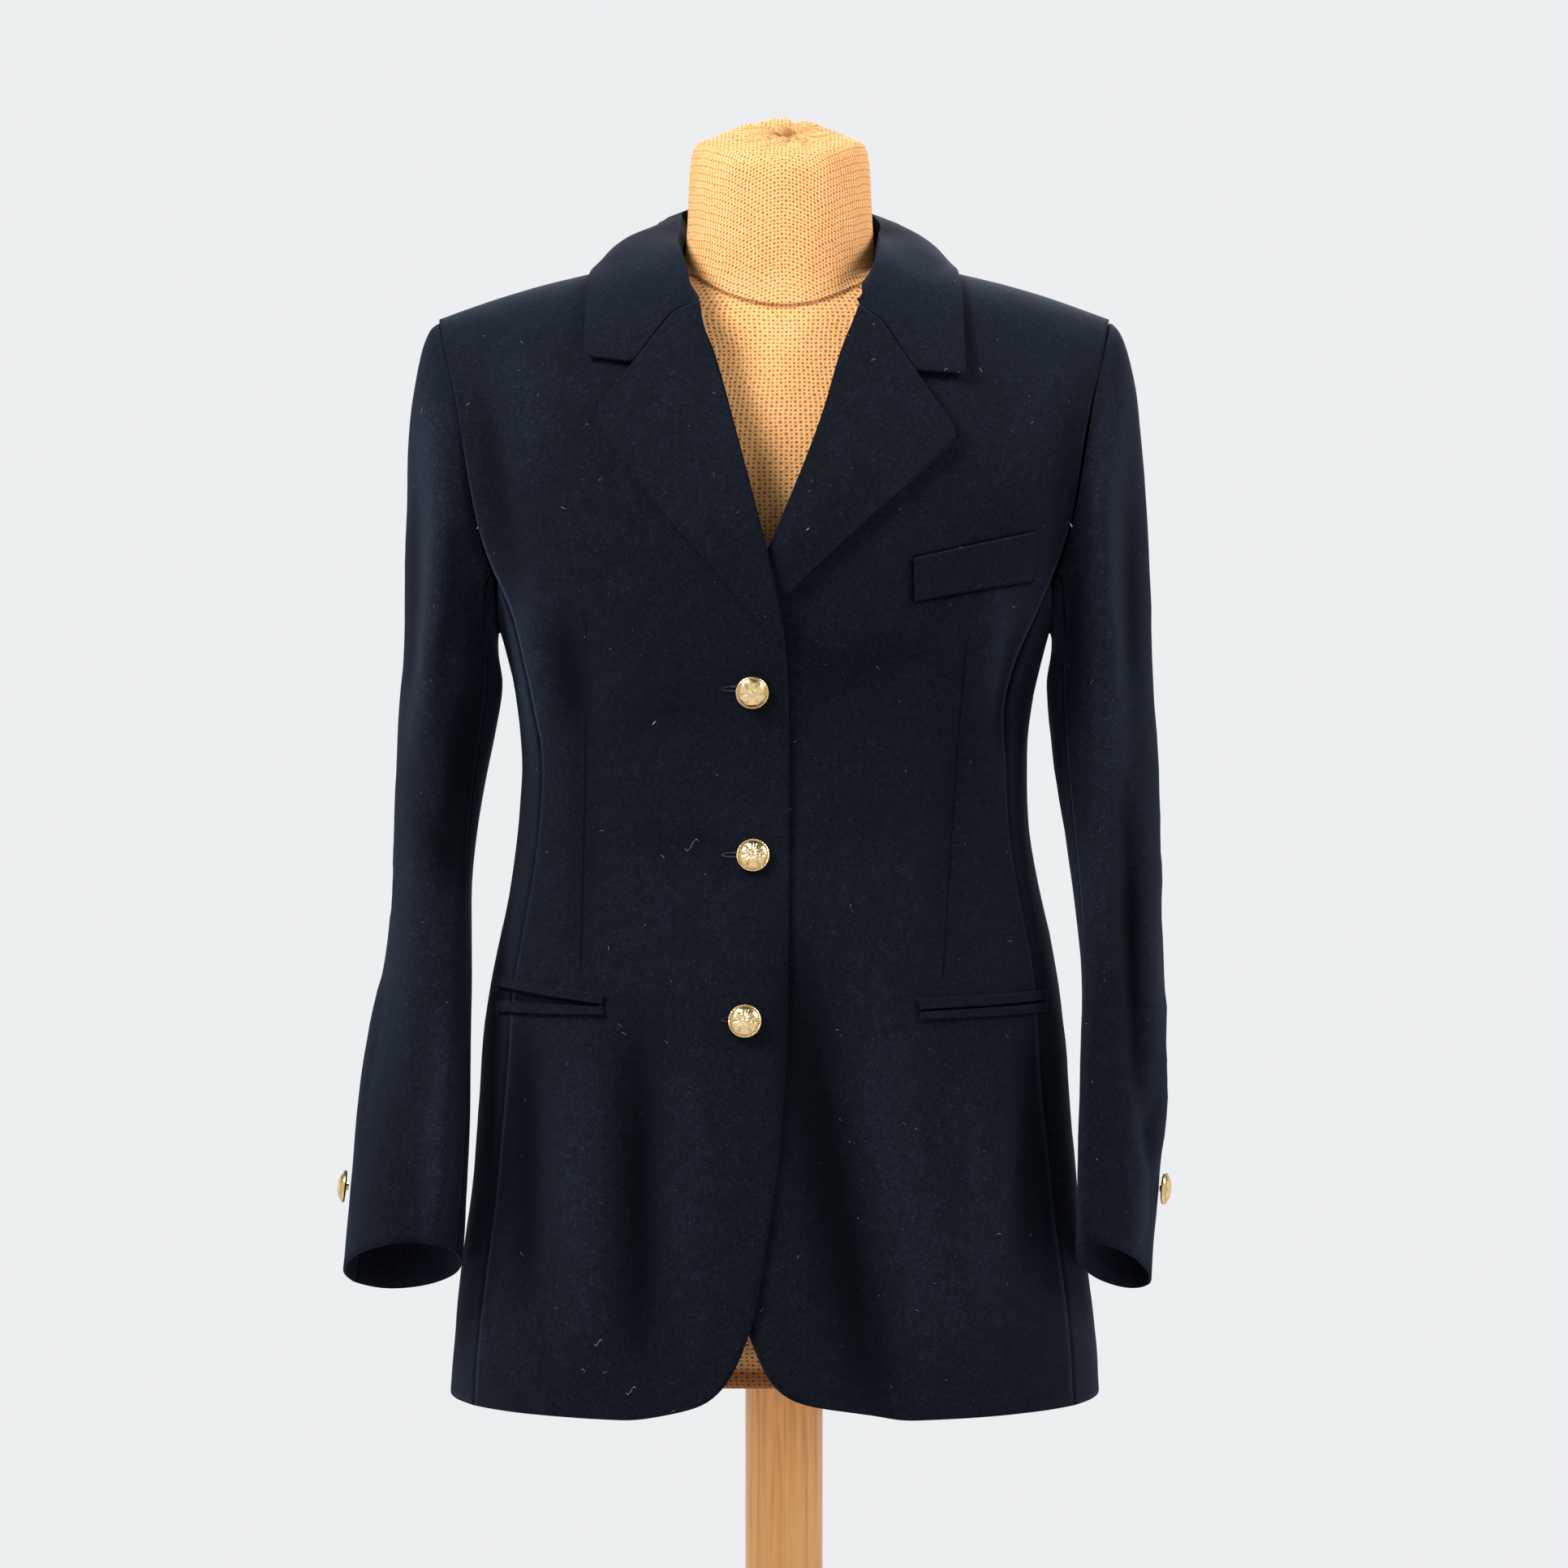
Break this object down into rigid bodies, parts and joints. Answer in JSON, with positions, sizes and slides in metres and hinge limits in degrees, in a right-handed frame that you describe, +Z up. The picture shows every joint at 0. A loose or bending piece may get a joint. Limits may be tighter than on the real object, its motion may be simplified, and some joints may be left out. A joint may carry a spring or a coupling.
{
  "type": "blazer on a limbless dress form with stand",
  "caption": "Navy wool single-breasted blazer with notched lapels, buttoned on a burlap dress form that stands on a wooden pole and round base.",
  "frame": {"origin": "centre of the base's underside, on the floor", "axes": "+Z up along the pole, -Y the way the coat faces, +X towards the wearer's left"},
  "size_m": [0.5191, 0.36, 1.328],
  "materials": {
    "wool": "fulled navy wool melton, matte with a short nap",
    "gold": "polished gilt metal with a raised relief",
    "burlap": "open plain-weave burlap",
    "wood": "clear lacquered pine"
  },
  "bodies": {
    "root": {"front_right": "wool", "front_left": "wool", "side_right": "wool", "side_left": "wool", "back_right": "wool", "back_left": "wool", "lapel_right": "wool", "lapel_left": "wool", "collar": "wool", "breast_welt": "wool", "jet_left_upper": "wool", "jet_left_lower": "wool", "jet_right_upper": "wool", "jet_right_lower": "wool", "sleeve_upper_right": "wool", "sleeve_under_right": "wool", "sleeve_upper_left": "wool", "sleeve_under_left": "wool", "button_front_1": "gold", "button_front_2": "gold", "button_front_3": "gold", "button_cuff_right": "gold", "button_cuff_left": "gold", "dress_form": "burlap", "pole": "wood", "base": "wood"}
  },
  "joints": []
}
